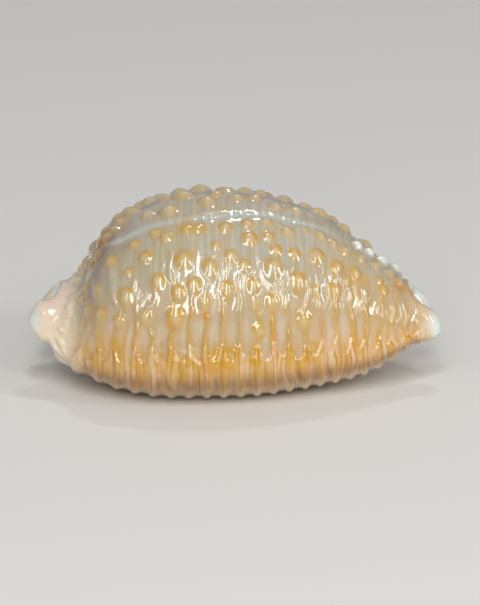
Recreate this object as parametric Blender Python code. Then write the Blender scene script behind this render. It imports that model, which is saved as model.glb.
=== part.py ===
"""Nucleus cowrie: one hollow shell, ribbed below, knobbed above, open through a toothed slit.

The shell lies on its ribs with its back up. x runs from the hind end to the front end, z from
the ground to the back, and the outer lip is on the -y side. A place on the wall is given by
"around", which is 0 on the middle of the back, +1 on the edge of the outer lip and -1 on the
edge of the inner lip, and by "along", which is 0 on the hind rim and 1 on the front rim.
All sizes are in millimetres until the mesh is made.
"""

import math

import bmesh
import bpy
import numpy as np

MM = 0.001

# The shell's box
LENGTH = 22.0
WIDTH = 13.4
HEIGHT = 10.05

# Plan and side view, as shares of half the length, half the width and the height:
# place along the shell, half width, height of the underside, height of the back
STATIONS = np.array([
    (-1.000, 0.284, 0.310, 0.425),
    (-0.936, 0.351, 0.225, 0.472),
    (-0.855, 0.448, 0.130, 0.500),
    (-0.791, 0.560, 0.088, 0.525),
    (-0.736, 0.672, 0.082, 0.595),
    (-0.664, 0.788, 0.055, 0.755),
    (-0.545, 0.903, 0.025, 0.860),
    (-0.364, 0.982, 0.000, 0.945),
    (-0.136, 1.000, 0.000, 0.985),
    (0.091, 0.963, 0.005, 0.970),
    (0.318, 0.858, 0.030, 0.910),
    (0.527, 0.709, 0.060, 0.795),
    (0.691, 0.560, 0.105, 0.650),
    (0.809, 0.433, 0.170, 0.540),
    (0.909, 0.306, 0.220, 0.440),
    (1.000, 0.224, 0.220, 0.400),
])

# Half a cross-section: around, share of the half width, share of the height
FLANK = np.array([
    (0.000, 0.000, 1.000),
    (0.140, 0.420, 0.940),
    (0.285, 0.745, 0.765),
    (0.420, 0.925, 0.530),
    (0.500, 0.965, 0.360),
    (0.560, 1.000, 0.235),
    (0.630, 0.930, 0.105),
    (0.715, 0.700, 0.020),
    (0.805, 0.430, 0.000),
    (0.880, 0.220, 0.025),
])
UNDERSIDE_FROM = 0.60

# The slit: place along the shell in mm, its middle line, half its width
SLIT = np.array([
    (-11.0, 0.55, 0.62),
    (-8.0, 0.25, 0.48),
    (-4.0, -0.35, 0.43),
    (2.0, -0.45, 0.48),
    (8.0, -0.15, 0.66),
    (11.0, 0.00, 0.60),
])

# The lip beside the slit: around, distance from the slit's wall, height above the underside
LIP = np.array([
    (0.925, 0.34, 0.24),
    (0.963, 0.02, 0.85),
    (1.000, 0.05, 1.70),
])
FULL_LIP_DEPTH = 6.0

# The hollow, half a section: around, share of its half width, share of its height
HOLLOW = np.array([
    (0.00, 0.00, 1.00),
    (0.28, 0.72, 0.80),
    (0.50, 1.00, 0.42),
    (0.72, 0.74, 0.08),
    (0.88, 0.30, 0.00),
])
# How wide the hollow is in the shell: place along in mm, share of the wall's half width
HOLLOW_WIDTH = np.array([
    (-11.0, 0.06),
    (-9.6, 0.10),
    (-8.2, 0.50),
    (-6.0, 0.76),
    (0.0, 0.80),
    (5.0, 0.76),
    (8.0, 0.45),
    (9.6, 0.10),
    (11.0, 0.06),
])
BACK_WALL = 0.95
FLOOR_WALL = 1.70

# Where the wall ends, in mm along the shell: over the notch, tip of the outer lip, tip of the
# inner lip, and how far the edges draw back from the tips at the slit
HIND_RIM = (-9.25, -10.06, -9.80, 0.40)
FRONT_RIM = (9.15, 10.36, 9.90, -0.55)

# Rounded knuckles on the tips of the lips: middle, reach, share by which the wall swells there
KNUCKLES = (
    ((10.45, -1.25, 2.95), 0.75, 0.50),
    ((10.05, 1.40, 3.20), 0.65, 0.45),
    ((-10.40, -1.50, 3.25), 0.60, 0.35),
)

# Ribs, wider apart and higher at the hind end
RIBS = 23
ROWS_PER_RIB = 3
RIB_WIDENING = 0.21
RIB_HEIGHT = 0.13
RIB_GROOVE = 0.11
FLANK_RIDGE = 0.70
RIBS_START = 0.20
RIM_CALM = 0.5
# The ribs are worn flat where the shell stands on them
WORN_TO = 0.06

# The smooth furrow along the back: place along in mm, height in the slanting view
SIGHT_ANGLE = 18.0
FURROW = np.array([
    (-7.8, 6.4),
    (-6.7, 6.9),
    (-5.6, 7.3),
    (-3.5, 8.0),
    (-1.9, 8.2),
    (0.0, 8.4),
    (1.4, 8.4),
    (2.9, 8.1),
    (4.6, 7.7),
])
FURROW_WIDTH = 0.8
FURROW_DEPTH = 0.14

# Knobs of the outer side, row by row from the back down: place along in mm, height as it is
# seen from the side and SIGHT_ANGLE above level, radius
KNOBS = np.array([
    (-4.7, 9.3, 0.43), (-3.8, 9.3, 0.30), (-2.8, 9.4, 0.43), (-1.9, 9.8, 0.48), (-1.0, 9.5, 0.30),
    (-0.4, 9.7, 0.35), (1.4, 9.6, 0.38), (2.7, 9.3, 0.38), (3.8, 8.9, 0.32), (4.6, 8.5, 0.43),
    (5.9, 7.7, 0.35), (7.1, 7.0, 0.38),
    (-7.0, 7.5, 0.32), (-6.2, 8.0, 0.30), (-5.6, 8.5, 0.38), (-4.7, 8.4, 0.32), (-3.6, 8.6, 0.38),
    (-1.5, 9.1, 0.38), (0.1, 9.3, 0.32), (1.1, 9.3, 0.32), (2.2, 8.8, 0.32), (3.3, 8.6, 0.32),
    (-7.2, 7.0, 0.32), (-6.5, 7.6, 0.28), (-7.7, 6.7, 0.34), (-8.1, 6.0, 0.30), (-5.8, 9.0, 0.36),
    (-5.4, 6.8, 0.28), (-4.3, 7.4, 0.28), (-3.7, 7.2, 0.32), (-2.6, 7.6, 0.28), (-2.0, 7.6, 0.28),
    (-0.5, 7.7, 0.32), (0.7, 7.9, 0.28), (1.7, 8.0, 0.28), (2.8, 7.5, 0.32), (3.7, 7.6, 0.24),
    (4.6, 7.3, 0.28), (5.3, 6.9, 0.24), (5.9, 6.5, 0.32), (6.8, 6.1, 0.28), (7.6, 5.7, 0.24),
    (8.4, 5.3, 0.24), (8.9, 4.8, 0.28),
    (-7.7, 5.8, 0.28), (-6.7, 5.9, 0.32), (-4.8, 6.1, 0.32), (-2.7, 6.0, 0.43), (-1.0, 6.7, 0.24),
    (-0.2, 6.2, 0.32), (0.8, 7.1, 0.38), (1.8, 7.2, 0.28), (2.2, 6.5, 0.28), (3.2, 6.3, 0.28),
    (4.4, 6.2, 0.38), (5.5, 5.6, 0.32), (6.5, 5.3, 0.32),
    (-5.7, 5.3, 0.24), (-4.1, 4.9, 0.32), (-2.2, 4.7, 0.32), (-1.3, 5.6, 0.38), (0.5, 5.7, 0.28),
    (2.1, 5.6, 0.43), (3.4, 4.9, 0.38), (1.0, 4.7, 0.28), (4.3, 4.4, 0.24), (5.4, 4.4, 0.32),
    (-7.4, 4.4, 0.28), (-5.8, 4.1, 0.38), (-3.0, 4.3, 0.32), (-1.6, 3.8, 0.28), (-0.4, 4.5, 0.32),
    (2.0, 3.8, 0.32), (8.0, 4.4, 0.28),
    (-6.2, 2.8, 0.28), (-4.8, 3.0, 0.28), (-3.2, 3.0, 0.43), (3.7, 2.8, 0.38), (1.3, 2.3, 0.32),
])
# Knobs of the inner side, in rows: around, hind end and front end of the row in mm along
FAR_ROWS = np.array([
    (-0.125, -5.2, 6.2),
    (-0.190, -6.0, 7.0),
    (-0.255, -6.8, 7.8),
    (-0.320, -7.2, 8.2),
    (-0.385, -7.4, 7.6),
    (-0.450, -6.6, 6.8),
])
FAR_SPACING = 1.15
FAR_SCATTER = 0.14
FAR_RADIUS = (0.28, 0.44)
SEED = 7

KNOB_SPREAD = 1.35
KNOB_STEEPNESS = 0.62

# How finely the wall is divided
COLUMNS_ABOVE = 46
COLUMNS_BELOW = np.array([0.68, 0.76, 0.84, 0.92, 1.0])
ROWS = RIBS * ROWS_PER_RIB + 1
RIM_STEPS = 3
HOLLOW_COLUMNS = np.array([0, 2, 5, 14, 21, 28, 35, 42, 51, 54, 56])

SHELL_COLOUR = (0.62, 0.47, 0.27, 1.0)
SHELL_ROUGHNESS = 0.18
SMOOTH_BELOW = math.radians(75)


def clear_scene():
    for thing in list(bpy.data.objects):
        bpy.data.objects.remove(thing, do_unlink=True)


def smooth_curve(knots, values, at):
    """Natural cubic spline through the values at the knots, read at any points."""
    values = np.asarray(values, float)
    count = len(knots)
    gap = np.diff(knots)
    slope = np.diff(values, axis=0) / gap.reshape(-1, *[1] * (values.ndim - 1))
    system = np.eye(count)
    pull = np.zeros_like(values)
    for i in range(1, count - 1):
        system[i, i - 1:i + 2] = gap[i - 1], 2 * (gap[i - 1] + gap[i]), gap[i]
        pull[i] = 6 * (slope[i] - slope[i - 1])
    bend = np.linalg.solve(system, pull.reshape(count, -1)).reshape(values.shape)
    at = np.clip(at, knots[0], knots[-1])
    i = np.clip(np.searchsorted(knots, at) - 1, 0, count - 2)
    spread = (...,) + (None,) * (values.ndim - 1)
    before = (at - knots[i])[spread]
    after = (knots[i + 1] - at)[spread]
    step = gap[i][spread]
    curve = (bend[i] * after**3 + bend[i + 1] * before**3) / (6 * step)
    line_end = (values[i] / step - bend[i] * step / 6) * after
    return curve + line_end + (values[i + 1] / step - bend[i + 1] * step / 6) * before


def ease(value):
    """Smooth step from 0 to 1."""
    value = np.clip(value, 0, 1)
    return value * value * (3 - 2 * value)


def section_sizes(x):
    """Half width, underside, back, slit's middle and half gap of the sections at x."""
    half, under, back = smooth_curve(STATIONS[:, 0] * LENGTH / 2, STATIONS[:, 1:], x).T
    middle, gap = smooth_curve(SLIT[:, 0], SLIT[:, 1:], x).T
    sizes = half * WIDTH / 2, under * HEIGHT, back * HEIGHT, middle, gap
    return [size.T for size in sizes]


def through(points, around):
    """(y, z) on the smooth curve through a section's points, each (around, y, z)."""
    points = sorted(points, key=lambda point: point[0])
    weights = smooth_curve(np.array([point[0] for point in points]), np.eye(len(points)), around)
    y = sum(weights[..., k] * point[1] for k, point in enumerate(points))
    z = sum(weights[..., k] * point[2] for k, point in enumerate(points))
    return y, z


def wall(x, around):
    """(y, z) of the outer wall's smooth form."""
    half, under, back, middle, gap = section_sizes(x)
    height = back - under
    lip_size = np.clip(height / FULL_LIP_DEPTH, 0.2, 1)
    points = [(0.0, 0 * half, back)]
    for place, out, up in FLANK[1:]:
        inward = (1 - out) * (place > UNDERSIDE_FROM)
        for side in (1, -1):
            y = -side * (out * half + inward * gap) + inward * middle
            points.append((side * place, y, under + up * height))
    for place, out, up in LIP:
        for side in (1, -1):
            y = middle - side * (gap + out * lip_size)
            points.append((side * place, y, under + up * lip_size))
    return through(points, around)


def hollow(x, around):
    """(y, z) of the hollow's wall, which meets the outer wall at the edges of the lips."""
    half, under, back, middle, gap = section_sizes(x)
    height = back - under
    lip_size = np.clip(height / FULL_LIP_DEPTH, 0.2, 1)
    share = smooth_curve(HOLLOW_WIDTH[:, 0], HOLLOW_WIDTH[:, 1], x)
    half_inside = gap + (half - gap) * share
    floor = under + FLOOR_WALL * lip_size
    top = back - BACK_WALL * np.clip(height / 5, 0.6, 1)
    points = [(0.0, 0 * half, top)]
    for place, out, up in HOLLOW[1:]:
        inward = (1 - out) * (place > UNDERSIDE_FROM)
        for side in (1, -1):
            y = -side * (out * half_inside + inward * gap) + inward * middle
            points.append((side * place, y, floor + up * (top - floor)))
    edge, out, up = LIP[-1]
    for side in (1, -1):
        points.append((side * edge, middle - side * (gap + out * lip_size), under + up * lip_size))
    return through(points, around)


def rim(places, around):
    """Where the wall ends: over the notch, out to the tips of the lips, and back at the slit."""
    over_notch, outer_lip, inner_lip, drawn_back = places
    tip = np.where(around > 0, outer_lip, inner_lip)
    place = np.abs(around)
    run_out = (tip - over_notch) * ease((place - 0.10) / 0.45)
    return over_notch + run_out + drawn_back * ease((place - 0.68) / 0.32)


def rounded_rim(places, around, outwards):
    """Rows that turn from the hollow's wall to the outer wall over half a circle."""
    x = rim(places, around)
    inner = np.array(hollow(x, around))
    outer = np.array(wall(x, around))
    thickness = np.hypot(*(outer - inner))
    rows = []
    for step in range(RIM_STEPS):
        turn = math.pi * step / RIM_STEPS
        y, z = inner + (outer - inner) * (1 - math.cos(turn)) / 2
        rows.append(np.stack([x + outwards * 0.5 * thickness * math.sin(turn), y, z], -1))
    return rows


def columns():
    """The values of around, closer together above than below."""
    above = np.linspace(-UNDERSIDE_FROM, UNDERSIDE_FROM, COLUMNS_ABOVE + 1)
    return np.concatenate([-COLUMNS_BELOW[::-1], above, COLUMNS_BELOW])


def outward(points):
    """Unit normals of a grid of points."""
    down_rows = np.gradient(points, axis=0)
    over_columns = np.gradient(points, axis=1)
    normal = np.cross(over_columns, down_rows)
    return normal / np.linalg.norm(normal, axis=-1, keepdims=True)


def around_at(x, up):
    """The place around the outer side that is seen at a height, from SIGHT_ANGLE above level."""
    sight = math.radians(SIGHT_ANGLE)
    places = np.linspace(-0.12, 0.62, 150)
    y, z = wall(np.full_like(places, x), places)
    seen = z * math.cos(sight) + y * math.sin(sight)
    top = int(np.argmax(seen))
    return float(np.interp(-up, -seen[top:], places[top:]))


def knob_places():
    """(x, around, radius) of every knob: the listed ones, and rows with some scatter beyond."""
    places = [(x, around_at(x, up), radius) for x, up, radius in KNOBS]
    draw = np.random.default_rng(SEED)
    for number, (around, start, end) in enumerate(FAR_ROWS):
        count = int((end - start) / FAR_SPACING)
        for k in range(count + 1):
            x = start + (k + 0.5 * (number % 2)) * FAR_SPACING
            shift = draw.uniform(-FAR_SCATTER, FAR_SCATTER, 2)
            radius = draw.uniform(*FAR_RADIUS)
            places.append((x + shift[0], around + 0.08 * shift[1], radius))
    return places


def knobs(points):
    """Height of the knobs: a round lump on the grid corner nearest to each knob's place."""
    height = np.zeros(points.shape[:2])
    flat = points.reshape(-1, 3)
    for x, around, radius in knob_places():
        y, z = wall(np.array([x]), np.array([around]))
        reach = np.linalg.norm(flat - (x, y[0], z[0]), axis=1)
        centre = flat[np.argmin(reach)]
        distance = np.linalg.norm(points - centre, axis=-1) / (radius * KNOB_SPREAD)
        lump = KNOB_STEEPNESS * radius * np.clip(1 - distance**2, 0, 1) ** 1.5
        height = np.maximum(height, lump)
    return height


def ribs(around, row):
    """Height of the ribs: broad with narrow grooves, fading up the flank and inside the slit."""
    size = 1 + RIB_WIDENING * (1 - 2 * row / (ROWS - 1))
    crest = size * np.where(row % ROWS_PER_RIB == 0, -RIB_GROOVE, RIB_HEIGHT)
    place = np.abs(around)
    below = ease((place - 0.50) / 0.12)
    flank = FLANK_RIDGE * ease((place - RIBS_START) / 0.22)
    inside = 1 - ease((place - 0.95) / 0.05)
    return crest * np.maximum(below, flank) * inside


def furrow(x, around):
    """Depth of the furrow along the back, fading at its two ends."""
    line = np.array([around_at(place, up) for place, up in FURROW])
    middle = smooth_curve(FURROW[:, 0], line, x)
    half = 0.5 * FURROW_WIDTH / WIDTH
    ends = ease((x - FURROW[0, 0]) / 0.8) * ease((FURROW[-1, 0] - x) / 0.8)
    return FURROW_DEPTH * np.exp(-(((around - middle) / half) ** 2)) * ends


def outer_sheet(around):
    """The outer wall from rim to rim, with its ribs, furrow and knobs."""
    start = rim(HIND_RIM, around)
    end = rim(FRONT_RIM, around)
    row = np.arange(ROWS)[:, None]
    share = row / (ROWS - 1)
    along = share * (1 + RIB_WIDENING) - RIB_WIDENING * share**2
    x = start + (end - start) * along
    place = np.broadcast_to(around, x.shape)
    points = np.stack([x, *wall(x, place)], -1)
    normals = outward(points)
    calm = ease((x - start) / RIM_CALM) * ease((end - x) / RIM_CALM)
    height = np.maximum(ribs(place, row), knobs(points)) - furrow(x, place)
    points = points + normals * (height * calm)[..., None]
    points[..., 2] = np.maximum(points[..., 2], WORN_TO)
    return points


def swell(points):
    """Points near a knuckle's middle move away from it, by a bell curve of their distance."""
    for middle, reach, share in KNUCKLES:
        away = points - np.array(middle)
        distance = np.linalg.norm(away, axis=-1, keepdims=True)
        points = points + away * share * np.exp(-((distance / reach) ** 2))
    return points


def shell_grids():
    """The outer grid with both rims, and the smaller grid of the hollow."""
    around = columns()
    hind = rounded_rim(HIND_RIM, around, -1)
    front = rounded_rim(FRONT_RIM, around, 1)
    outer = np.concatenate([hind, outer_sheet(around), front[::-1]])
    x = outer[RIM_STEPS:-RIM_STEPS, :, 0][1:-1, HOLLOW_COLUMNS[1:-1]]
    place = np.broadcast_to(around[HOLLOW_COLUMNS[1:-1]], x.shape)
    inner = np.stack([x, *hollow(x, place)], -1)
    return swell(outer), swell(inner)


def grid_faces(numbers):
    """Four-sided faces between the neighbours of a grid of vertex numbers."""
    corners = numbers[:-1, :-1], numbers[1:, :-1], numbers[1:, 1:], numbers[:-1, 1:]
    return np.stack(corners, -1).reshape(-1, 4).tolist()


def joining_faces(fine, coarse):
    """Faces between a fine row of vertices and the coarse row that shares some of its columns."""
    faces = []
    for k in range(len(HOLLOW_COLUMNS) - 1):
        first, last = HOLLOW_COLUMNS[k], HOLLOW_COLUMNS[k + 1]
        middle = (first + last) // 2
        for j in range(first, last):
            faces.append([fine[j], fine[j + 1], coarse[k] if j < middle else coarse[k + 1]])
        faces.append([fine[middle], coarse[k + 1], coarse[k]])
    return faces


def shell_mesh():
    """One closed mesh: the outer wall, the two rims and the hollow's wall."""
    outer, inner = shell_grids()
    outer_numbers = np.arange(outer[..., 0].size).reshape(outer.shape[:2])
    inner_numbers = outer_numbers.size + np.arange(inner[..., 0].size).reshape(inner.shape[:2])
    edges = outer_numbers[RIM_STEPS + 1:-RIM_STEPS - 1]
    chamber = np.concatenate([edges[:, :1], inner_numbers, edges[:, -1:]], axis=1)

    faces = grid_faces(outer_numbers)
    faces += [face[::-1] for face in grid_faces(chamber)]
    faces += [face[::-1] for face in joining_faces(outer_numbers[0], chamber[0])]
    faces += joining_faces(outer_numbers[-1], chamber[-1])

    points = np.concatenate([outer.reshape(-1, 3), inner.reshape(-1, 3)])
    low = points.min(axis=0)
    size = np.array([LENGTH, WIDTH, HEIGHT])
    points = (points - low) / (points.max(axis=0) - low) * size
    points -= (LENGTH / 2, WIDTH / 2, 0)

    mesh = bpy.data.meshes.new("shell")
    mesh.from_pydata((points * MM).tolist(), [], faces)
    shape = bmesh.new()
    shape.from_mesh(mesh)
    bmesh.ops.remove_doubles(shape, verts=shape.verts, dist=0.004 * MM)
    bmesh.ops.dissolve_degenerate(shape, edges=shape.edges, dist=0.002 * MM)
    bmesh.ops.triangulate(shape, faces=shape.faces)
    bmesh.ops.recalc_face_normals(shape, faces=shape.faces)
    shape.to_mesh(mesh)
    shape.free()
    return mesh


def shell_material():
    material = bpy.data.materials.new("shell_gloss")
    material.use_nodes = True
    finish = material.node_tree.nodes["Principled BSDF"]
    finish.inputs["Base Color"].default_value = SHELL_COLOUR
    finish.inputs["Roughness"].default_value = SHELL_ROUGHNESS
    finish.inputs["Metallic"].default_value = 0.0
    return material


def main():
    clear_scene()
    mesh = shell_mesh()
    mesh.shade_smooth()
    mesh.set_sharp_from_angle(angle=SMOOTH_BELOW)
    mesh.materials.append(shell_material())
    shell = bpy.data.objects.new("shell", mesh)
    bpy.context.collection.objects.link(shell)


main()
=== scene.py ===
"""Nucleus cowrie: the finished shell on a pale floor, laid out as an add-on.

The shell is one numpy surface. A place on its wall is given by "around", which is 0 on the
middle of the back, +1 on the edge of the outer lip (-y side) and -1 on the edge of the inner
lip, and by "turn", which counts the ribs from the hind rim to the front rim.
Lengths inside the shape functions are in millimetres.
"""

import math

import bmesh
import bpy
import numpy as np
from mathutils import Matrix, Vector


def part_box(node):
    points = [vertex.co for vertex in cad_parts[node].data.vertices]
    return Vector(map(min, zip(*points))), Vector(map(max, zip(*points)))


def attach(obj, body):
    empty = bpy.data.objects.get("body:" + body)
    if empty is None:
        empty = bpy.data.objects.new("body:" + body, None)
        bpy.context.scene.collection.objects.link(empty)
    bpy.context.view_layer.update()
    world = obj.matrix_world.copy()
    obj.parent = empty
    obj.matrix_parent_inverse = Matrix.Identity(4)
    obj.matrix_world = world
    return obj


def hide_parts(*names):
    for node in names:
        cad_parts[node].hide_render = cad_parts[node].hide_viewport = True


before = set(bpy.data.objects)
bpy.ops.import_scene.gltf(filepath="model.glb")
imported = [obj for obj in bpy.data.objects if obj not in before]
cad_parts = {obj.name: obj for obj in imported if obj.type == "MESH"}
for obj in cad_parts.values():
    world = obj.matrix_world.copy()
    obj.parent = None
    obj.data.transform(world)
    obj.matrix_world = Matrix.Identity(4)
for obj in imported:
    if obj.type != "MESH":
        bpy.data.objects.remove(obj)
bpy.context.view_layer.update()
SHELL_LOW, SHELL_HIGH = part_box("shell")

bl_info = {
    "name": "Nucleus cowrie",
    "version": (1, 0, 0),
    "blender": (4, 5, 0),
    "location": "3D View > Sidebar > Cowrie",
    "description": "Makes a glossy cowrie shell with its floor, lights and camera",
    "category": "Add Mesh",
}

MM = 0.001

LENGTH, WIDTH, HEIGHT = ((SHELL_HIGH - SHELL_LOW) / MM)[:]

# Plan and side view, as shares of half the length, half the width and the height:
# place along the shell, half width, height of the underside, height of the back
STATIONS = np.array([
    (-1, 0.284, 0.31, 0.425), (-0.936, 0.351, 0.225, 0.472), (-0.855, 0.448, 0.13, 0.5),
    (-0.791, 0.56, 0.088, 0.525), (-0.736, 0.672, 0.082, 0.595), (-0.664, 0.788, 0.055, 0.755),
    (-0.545, 0.903, 0.025, 0.86), (-0.364, 0.982, 0, 0.945), (-0.136, 1, 0, 0.985),
    (0.091, 0.963, 0.005, 0.97), (0.318, 0.858, 0.03, 0.91), (0.527, 0.709, 0.06, 0.795),
    (0.691, 0.56, 0.105, 0.65), (0.809, 0.433, 0.17, 0.54), (0.909, 0.306, 0.22, 0.44),
    (1, 0.224, 0.22, 0.4),
])

# Half a cross-section: around, share of the half width, share of the height
FLANK = np.array([
    (0, 0, 1), (0.14, 0.42, 0.94), (0.285, 0.745, 0.765), (0.42, 0.925, 0.53),
    (0.5, 0.965, 0.36), (0.56, 1, 0.235), (0.63, 0.92, 0.122), (0.715, 0.69, 0.03),
    (0.805, 0.43, 0), (0.88, 0.22, 0.025),
])
UNDERSIDE_FROM = 0.60

# The slit: place along the shell, its middle line, half its width
SLIT = np.array([
    (-11, 0.55, 0.62), (-8, 0.25, 0.48), (-4, -0.35, 0.43), (2, -0.45, 0.48), (8, -0.15, 0.66),
    (11, 0, 0.6),
])

# The lip beside the slit: around, distance from the slit's wall, height above the underside
LIP = np.array([(0.925, 0.34, 0.24), (0.963, 0.02, 0.85), (1, 0.05, 1.7)])
# Sections lower than this have smaller lips
FULL_LIP_DEPTH = 6.0
LEAST_LIP = 0.2

# The hollow, half a section: around, share of its half width, share of its height
HOLLOW = np.array([(0, 0, 1), (0.28, 0.72, 0.8), (0.5, 1, 0.42), (0.72, 0.74, 0.08), (0.88, 0.3, 0)])
# How wide the hollow is: place along the shell, share of the wall's half width
HOLLOW_WIDTH = np.array([
    (-11, 0.06), (-9.6, 0.1), (-8.2, 0.5), (-6, 0.76), (0, 0.8), (5, 0.76), (8, 0.45), (9.6, 0.1),
    (11, 0.06),
])
# Walls over and under the hollow, and the height below which the upper one thins
BACK_WALL = 0.95
FLOOR_WALL = 1.70
FULL_WALL_HEIGHT = 5.0
LEAST_WALL = 0.6

# Where the wall ends along the shell: over the notch, at the tips of the outer and inner lips,
# and how far the edges draw back from the tips at the slit
HIND_RIM = (-9.25, -10.06, -9.80, 0.40)
FRONT_RIM = (9.15, 10.36, 9.90, -0.55)

# Rounded knuckles on the tips of the lips: middle, reach, share by which the wall swells, lift
KNUCKLES = (
    ((10.35, -1.25, 3.20), 0.80, 0.55, 0.20), ((10.75, -1.25, 3.45), 0.55, 0.70, 0.05),
    ((10.20, 1.30, 3.45), 0.55, 0.90, 0.05), ((-10.50, -1.50, 3.25), 0.95, 0.14, 0.95),
    ((-10.75, -1.60, 3.45), 0.38, 0.70, 0.00),
)
# Their white caps: middle, radius
CAPS = (
    ((10.95, -1.25, 3.20), 0.82), ((10.50, 1.40, 3.50), 0.65), ((9.70, 1.30, 4.20), 0.50),
    ((-11.05, -1.60, 3.60), 0.80), ((-10.15, 0.40, 4.45), 0.60),
)

# Ribs, wider apart at the hind end
RIBS = 23
RIB_WIDENING = 0.21
RIM_CALM = 0.5
KNOB_CALM = 0.2
WORN_TO = 0.06

# The slanting view is from the outer side, this many degrees above level
SIGHT_ANGLE = 18.0
# The smooth furrow along the back: place along, height in the slanting view
FURROW = np.array([
    (-7.4, 6.5), (-6.7, 6.85), (-5.6, 7.3), (-3.5, 8.0), (-1.9, 8.2), (0.0, 8.4), (1.4, 8.4),
    (2.9, 8.1), (4.6, 7.7),
])

# Knobs of the outer side, from the back down: place along, height in the slanting view, radius
KNOBS = (
    (-4.7, 9.3, 0.43), (-3.8, 9.3, 0.30), (-2.8, 9.4, 0.43), (-1.9, 9.8, 0.48), (-1.0, 9.5, 0.30),
    (-0.4, 9.7, 0.35), (1.4, 9.6, 0.38), (2.7, 9.3, 0.38), (3.8, 8.9, 0.32), (4.6, 8.5, 0.43),
    (5.9, 7.7, 0.35), (7.1, 7.0, 0.38),
    (-7.0, 7.5, 0.32), (-6.2, 8.0, 0.30), (-5.6, 8.5, 0.38), (-4.7, 8.4, 0.32), (-3.6, 8.6, 0.38),
    (-1.5, 9.1, 0.38), (0.1, 9.3, 0.32), (1.1, 9.3, 0.32), (2.2, 8.8, 0.32), (3.3, 8.6, 0.32),
    (-7.2, 7.0, 0.32), (-6.5, 7.6, 0.28), (-7.7, 6.7, 0.34), (-8.1, 6.0, 0.30), (-5.8, 9.0, 0.36),
    (-5.4, 6.8, 0.28), (-4.3, 7.4, 0.28), (-3.7, 7.2, 0.32), (-2.6, 7.6, 0.28), (-2.0, 7.6, 0.28),
    (-0.5, 7.7, 0.32), (0.7, 7.9, 0.28), (1.7, 8.0, 0.28), (2.8, 7.5, 0.32), (3.7, 7.6, 0.24),
    (4.6, 7.3, 0.28), (5.3, 6.9, 0.24), (5.9, 6.5, 0.32), (6.8, 6.1, 0.28), (7.6, 5.7, 0.24),
    (8.4, 5.3, 0.24), (8.9, 4.8, 0.28),
    (-7.7, 5.8, 0.28), (-6.7, 5.9, 0.32), (-4.8, 6.1, 0.32), (-2.7, 6.0, 0.43), (-1.0, 6.7, 0.24),
    (-0.2, 6.2, 0.32), (0.8, 7.1, 0.38), (1.8, 7.2, 0.28), (2.2, 6.5, 0.28), (3.2, 6.3, 0.28),
    (4.4, 6.2, 0.38), (5.5, 5.6, 0.32), (6.5, 5.3, 0.32),
    (-5.7, 5.3, 0.24), (-4.1, 4.9, 0.32), (-2.2, 4.7, 0.32), (-1.3, 5.6, 0.38), (0.5, 5.7, 0.28),
    (2.1, 5.6, 0.43), (3.4, 4.9, 0.38), (1.0, 4.7, 0.28), (4.3, 4.4, 0.24), (5.4, 4.4, 0.32),
    (-7.4, 4.4, 0.28), (-5.8, 4.1, 0.38), (-3.0, 4.3, 0.32), (-1.6, 3.8, 0.28), (-0.4, 4.5, 0.32),
    (2.0, 3.8, 0.32), (8.0, 4.4, 0.28),
    (-6.2, 2.8, 0.28), (-4.8, 3.0, 0.28), (-3.2, 3.0, 0.43), (3.7, 2.8, 0.38), (1.3, 2.3, 0.32),
    (7.8, 4.9, 0.22), (6.0, 4.9, 0.22), (-7.4, 6.3, 0.28), (-6.9, 7.2, 0.28), (-6.3, 8.3, 0.32),
    (-8.3, 5.6, 0.30), (-5.3, 8.9, 0.30), (-7.2, 3.2, 0.28),
)
# Small knobs of the hind slope, which no ridge leans to
SLOPE_KNOBS = (
    (-8.45, 4.9, 0.26), (-8.2, 5.3, 0.26), (-7.9, 5.8, 0.28), (-7.55, 6.3, 0.28), (-8.0, 4.6, 0.26),
    (-8.3, 3.9, 0.24), (-7.9, 3.4, 0.26),
)
# Middle of the strip of the back where the knobs are broadest
BACK_MIDDLE = -0.02

# White beads behind the furrow's front end, in the same three measures
BEADS = (
    (6.6, 6.75, 0.27), (7.25, 6.4, 0.26), (7.95, 5.95, 0.28), (8.65, 5.55, 0.30),
    (9.15, 5.1, 0.28), (9.85, 4.3, 0.30),
)
# Spots of colour in the same measures: orange, ochre, the brownish shade of the hind slope
SPOTS = {
    "blotch": (
        (9.4, 4.35, 0.55), (8.9, 4.6, 0.40), (-7.1, 6.8, 0.22), (-3.3, 2.6, 0.30), (2.1, 1.9, 0.25),
        (-1.6, 3.0, 0.25), (-10.1, 2.0, 0.20), (-1.6, 0.36, 0.28), (-3.9, 0.2, 0.22),
    ),
    "ochre": (
        (-2.6, 7.8, 0.55), (-1.8, 7.7, 0.40), (-7.8, 6.0, 0.26), (-10.5, 2.6, 0.25),
        (-0.3, 0.35, 0.50), (-1.2, 0.30, 0.40), (-2.9, 0.0, 0.35), (1.4, 0.15, 0.40),
        (3.5, 0.5, 0.35), (-5.4, 0.4, 0.25),
    ),
    "shade": ((-7.2, 6.8, 1.8),),
}

# One more bead on the inner lip: place along, around, radius
LIP_BEAD = (9.45, -0.32, 0.34)
# Knobs of the inner side, in rows: around, hind end and front end of the row along the shell
FAR_ROWS = (
    (-0.125, -5.2, 6.2), (-0.190, -6.0, 7.0), (-0.255, -6.8, 7.8), (-0.320, -7.2, 8.2),
    (-0.385, -7.4, 7.6), (-0.450, -6.6, 6.8),
)
FAR_SPACING = 1.15
FAR_SCATTER = 0.14
FAR_RADIUS = (0.28, 0.44)
# Knobs on the back are broader, steeper, narrower at the foot; those of the flank run down
BACK_KNOB_GROWTH = 0.25
BACK_KNOB_STEEPER = 0.40
BACK_KNOB_TIGHTER = 0.12
DROP_LENGTH = 0.7

# Where the flank's troughs end on the margin, in around
SHELF_AT = 0.515
SHELF_STEP = 0.010
LINES_PER_RIB = 3
RIDGES_PER_RIB = 3

# Shares of the ridges' height
TROUGH_DEPTH = 0.70
SHELF_HEIGHT = 0.90
FRONT_STEEPER = 0.8
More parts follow.
